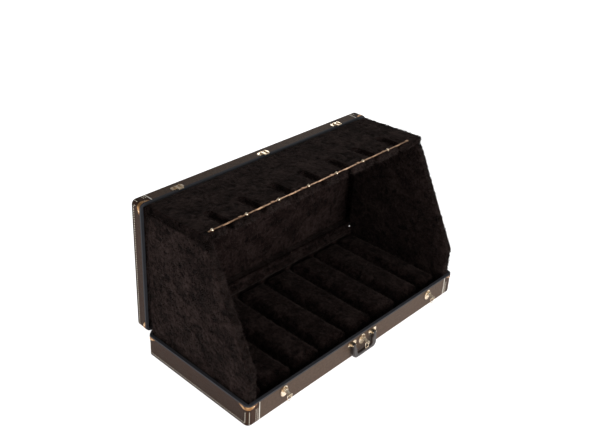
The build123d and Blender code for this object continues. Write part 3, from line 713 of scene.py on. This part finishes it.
# ------------------------------------------------------------------------------- hinge flap
# A strip of the same plush glued inside the tray's rear wall. It is folded back over the rim and
# laps up against the lid, so that the hinges and their gap don't show.
FLAP_THICK = 0.0016
FLAP_END = 0.4618
FLAP_COLUMNS = 230
WALL = 0.0082
TRIM_THICK = 0.0008
rim_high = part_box("tray_rim_trim")[1]
lid_rim_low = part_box("lid_rim_trim")[0]
wall_face = rim_high.y - TRIM_THICK - WALL - LINING
# From the wall's inner face, over the tray's rim, and up the lid's rim.
profile = [(wall_face - 0.0004, rim_high.z - 0.016), (wall_face - 0.0008, rim_high.z - 0.002),
           (wall_face + 0.0012, rim_high.z + 0.0014), (wall_face + 0.0060, rim_high.z + 0.0024),
           (lid_rim_low.y - 0.0040, rim_high.z + 0.0034), (lid_rim_low.y - 0.0022, rim_high.z + 0.0070),
           (lid_rim_low.y - 0.0018, lid_rim_low.z + 0.0155)]
strip = bmesh.new()
rows = [[strip.verts.new((FLAP_END * (2 * n / FLAP_COLUMNS - 1), y, z)) for y, z in profile]
        for n in range(FLAP_COLUMNS + 1)]
for left_row, right_row in zip(rows, rows[1:]):
    for k in range(len(profile) - 1):
        strip.faces.new((left_row[k], right_row[k], right_row[k + 1], left_row[k + 1]))
bmesh.ops.subdivide_edges(strip, edges=strip.edges[:], cuts=1, use_grid_fill=True)
hinge_flap = piece_from("hinge_flap", strip)
flap_mesh = hinge_flap.data
flap_mesh.shade_smooth()
flap_mesh.materials.append(plush)
raise_pile(flap_mesh, 0.0010)
flap_pile = grow_tufts("hinge_flap_pile", flap_mesh, 9000, 0.0045, lie=(0, -0.6, -0.6), seed=12)
thicken(hinge_flap, FLAP_THICK)
for part in (hinge_flap, flap_pile):
    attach(part, "tray")

# ------------------------------------------------------------------------------- floor pads
# Eight foam pads cut to fit between the grooves for the guitars' edges, each sewn into plush
# and pulled in between its corners, so that its top is crowned.
PAD_VOXEL = 0.006
PAD_SHRINK = 0.003
PAD_SWELL = 0.007
PAD_ROUND = 0.012
PAD_PRESSURE = 4.0
FILL_FRAMES = 20
TUFTS_PER_METRE = 90000


def swollen_pad(name, low, high):
    """A closed pad that fills out against its seams: cloth under pressure, its swelling capped."""
    low = Vector(low) + Vector((PAD_SHRINK, PAD_SHRINK, 0))
    high = Vector(high) - Vector((PAD_SHRINK, PAD_SHRINK, 2 * PAD_SHRINK))
    mesh = box_shape(low, high)
    upper = [e for e in mesh.edges if all(v.co.z > high.z - 0.001 for v in e.verts)]
    corners = [e for e in mesh.edges if abs(e.verts[0].co.z - e.verts[1].co.z) > 0.001]
    bmesh.ops.bevel(mesh, geom=upper + corners, offset=PAD_ROUND, segments=4, affect="EDGES",
                    profile=0.5)
    pad = piece_from(name, mesh)
    fine_mesh(pad, PAD_VOXEL)
    before, _ = vertex_arrays(pad.data)
    cloth = pad.modifiers.new("fill", "CLOTH")
    cloth.settings.use_pressure = True
    cloth.settings.uniform_pressure_force = PAD_PRESSURE
    cloth.settings.effector_weights.gravity = 0.0
    cloth.settings.quality = 4
    cloth.point_cache.frame_end = FILL_FRAMES
    scene = bpy.context.scene
    for number in range(1, FILL_FRAMES + 1):
        scene.frame_set(number)
    mesh = apply_modifiers(pad)
    scene.frame_set(1)
    after, _ = vertex_arrays(mesh)
    moved = after - before
    far = np.linalg.norm(moved, axis=1)[:, None] + 1e-9
    after = before + moved * np.minimum(1, PAD_SWELL / far)
    after[:, 2] = np.maximum(after[:, 2], low.z)
    mesh.vertices.foreach_set("co", after.ravel())
    mesh.update()
    mesh.shade_smooth()
    return pad


patterns = {}
for n in range(1, 9):
    node = "floor_pad_%d" % n
    low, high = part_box(node)
    wide = round(high.x - low.x, 4)
    if wide not in patterns:
        patterns[wide] = (swollen_pad("pad_pattern", low, high), low.x)
    pattern, from_x = patterns[wide]
    pad = bpy.data.objects.new(node + "_plush", pattern.data.copy())
    bpy.context.scene.collection.objects.link(pad)
    pad.data.transform(Matrix.Translation((low.x - from_x, 0, 0)))
    finer = pad.modifiers.new("finer", "SUBSURF")
    finer.levels = finer.render_levels = 1
    mesh = apply_modifiers(pad)
    mesh.materials.clear()
    mesh.materials.append(plush)
    floor_z = low.z
    raise_pile(mesh, 0.0020, still=lambda p: p[2] < floor_z + 0.002)
    mesh.shade_smooth()
    tufts = grow_tufts(node + "_pile", mesh, round(TUFTS_PER_METRE * wide), 0.006, lie=(0, -1, 0), seed=n,
                       keep=lambda centres: centres[:, 2] > floor_z + 0.012)
    for part in (pad, tufts):
        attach(part, "tray")
    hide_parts(node)
for pattern, _ in patterns.values():
    bpy.data.objects.remove(pattern)

# ------------------------------------------------------------------------------ side panels
# Two plywood panels wrapped in plush, glued down with the pile brushed towards the front edge,
# where it fluffs out. The wrap is open at the foot.
PANEL_VOXEL = 0.0035
PLUSH_THICK = 0.0046


def flat_solid(name, outline, offset):
    """A closed flat solid: a face through the outline's points, extruded by a vector."""
    mesh = bmesh.new()
    face = mesh.faces.new([mesh.verts.new(p) for p in outline])
    made = bmesh.ops.extrude_face_region(mesh, geom=[face])
    moved = [g for g in made["geom"] if isinstance(g, bmesh.types.BMVert)]
    bmesh.ops.translate(mesh, verts=moved, vec=offset)
    bmesh.ops.recalc_face_normals(mesh, faces=mesh.faces)
    return piece_from(name, mesh)


def open_skin(piece, is_open):
    """Takes away the faces where the wrap is open."""
    mesh = bmesh.new()
    mesh.from_mesh(piece.data)
    gone = [f for f in mesh.faces if is_open(f.calc_center_median(), f.normal)]
    bmesh.ops.delete(mesh, geom=gone, context="FACES")
    mesh.to_mesh(piece.data)
    mesh.free()


for name, side in (("left", -1), ("right", 1)):
    node = name + "_side_plush"
    low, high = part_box(node)
    outer_x = side * max(abs(low.x), abs(high.x))
    spots = {tuple(round(c, 5) for c in v.co) for v in nodes[node].data.vertices
             if abs(v.co.x - outer_x) < 1e-5}
    centre = sum((Vector(s) for s in spots), Vector()) / len(spots)
    outline = sorted(spots, key=lambda s: math.atan2(s[2] - centre.z, s[1] - centre.y))
    skin = flat_solid(name + "_side_skin", outline, (-side * (high.x - low.x), 0, 0))
    fine_mesh(skin, PANEL_VOXEL)
    foot = low.z + 0.001
    open_skin(skin, lambda c, n: c.z < foot and n.z < -0.9)
    raise_pile(skin.data, 0.0028)
    skin.data.materials.append(plush)
    tufts = grow_tufts(name + "_side_pile", skin.data, 46000, 0.0065, edges=0,
                       lie=(0, -0.6, -0.6), seed=20 + side)
    thicken(skin, PLUSH_THICK)
    for part in (skin, tufts):
        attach(part, name + "_panel")
    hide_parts(node)

# ------------------------------------------------------------------------------- neck panel
# A slotted plywood board wrapped in plush that dips into each slot, laid on the side panels with
# its rear edge lower. The rear edge is left open.
NECK_TILT = math.radians(3)
NECK_THICK = 0.024
SLOT_DEPTH = 0.100
SLOT_WIDTH = 0.032
ARC_STEPS = 10

panel_low, panel_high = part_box("neck_plush")
slot_boxes = [o["box_m"] for o in frame["record"]["physics"]["openings"] if o["name"].startswith("neck_slot")]
slot_xs = sorted((box[0][0] + box[1][0]) / 2 for box in slot_boxes)
top_front = Vector((0, panel_low.y + NECK_THICK * math.sin(NECK_TILT), 0))
top_front.z = panel_high.z
on_panel = Matrix.Translation(top_front) @ Matrix.Rotation(-NECK_TILT, 4, "X")
panel_depth = (panel_high.y - top_front.y) / math.cos(NECK_TILT)
half_panel = panel_high.x

outline = [(-half_panel, panel_depth), (-half_panel, 0)]
for x in slot_xs:
    arc_centre = SLOT_DEPTH - SLOT_WIDTH / 2
    outline.append((x - SLOT_WIDTH / 2, 0))
    for n in range(ARC_STEPS + 1):
        angle = math.pi * (1 - n / ARC_STEPS)
        outline.append((x + SLOT_WIDTH / 2 * math.cos(angle), arc_centre + SLOT_WIDTH / 2 * math.sin(angle)))
    outline.append((x + SLOT_WIDTH / 2, 0))
outline += [(half_panel, 0), (half_panel, panel_depth)]
neck_skin = flat_solid("neck_skin", [(x, y, 0) for x, y in outline], (0, 0, -NECK_THICK))
fine_mesh(neck_skin, PANEL_VOXEL)
open_skin(neck_skin, lambda c, n: c.y > panel_depth - 0.001 and n.y > 0.9)
neck_skin.data.transform(on_panel)
raise_pile(neck_skin.data, 0.0026)
neck_skin.data.materials.append(plush)
neck_tufts = grow_tufts("neck_pile", neck_skin.data, 50000, 0.0058, edges=2, lie=(0.3, -1, 0), seed=40)
thicken(neck_skin, PLUSH_THICK)
for part in (neck_skin, neck_tufts):
    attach(part, "neck_panel")
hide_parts("neck_plush")

# ------------------------------------------------------------------------------- neck gates
# Seven flat bronze-coloured bars that swing on domed screws to close the slots, and the small
# clips that hold their tips.
bronze = new_finish("bronzed_brass", (0.55, 0.34, 0.18), 0.34, metallic=1.0)
rubbed = add_node(bronze, "TexNoise", Vector=place_in_metres(bronze, (20, 120, 120)), Scale=4.0, Detail=8.0)
set_shader(
    bronze,
    Base_Color=ramp(bronze, rubbed, (0.3, (0.15, 0.08, 0.045)), (0.5, (0.30, 0.165, 0.09)),
                    (0.7, (0.62, 0.42, 0.26))),
    Roughness=add_node(bronze, "MapRange", Value=rubbed, To_Min=0.5, To_Max=0.25),
)
wear_finish(["neck_gate_%d" % n for n in range(1, 8)] + ["gate_keepers"], bronze)
wear_finish(["gate_pivot_screws"], brass)

# ----------------------------------------------------------------------------------- handle
# A U-shaped carrying grip moulded in black-brown vinyl over a steel core, riveted between the
# lugs of two brass plates.
grip_vinyl = new_finish("grip_vinyl", (0.022, 0.015, 0.012), 0.4)
grain = add_node(grip_vinyl, "TexVoronoi", Vector=place_in_metres(grip_vinyl), Scale=700.0)
streaks = add_node(grip_vinyl, "TexNoise", Vector=place_in_metres(grip_vinyl), Scale=45.0, Detail=5.0)
set_shader(
    grip_vinyl,
    Base_Color=ramp(grip_vinyl, streaks, (0.35, (0.012, 0.008, 0.007)), (0.7, (0.045, 0.031, 0.026))),
    Roughness=add_node(grip_vinyl, "MapRange", Value=streaks, To_Min=0.3, To_Max=0.5),
    Normal=bump(grip_vinyl, grain, 0.0002, 0.5),
)
wear_finish(["handle_grip"], grip_vinyl)
wear_finish(["handle_brackets"], brass)

# ---------------------------------------------------------------------------------- latches
# Three draw latches: an oval brass plate with two ears, a pressed lever on a riveted pin, and a
# bent wire loop that hooks over the lid's catch.
wear_finish(["latch_plates"] + ["latch_lever_%d" % n for n in (1, 2, 3)], brass)
wear_finish(["latch_loop_%d" % n for n in (1, 2, 3)], brass)

# ------------------------------------------------------------------------------ lid catches
# Round-ended brass plates riveted to the lid near its rim, each with a ribbed tongue that
# reaches past the rim for a latch's loop to hook over.
wear_finish(["lid_catches"], brass)
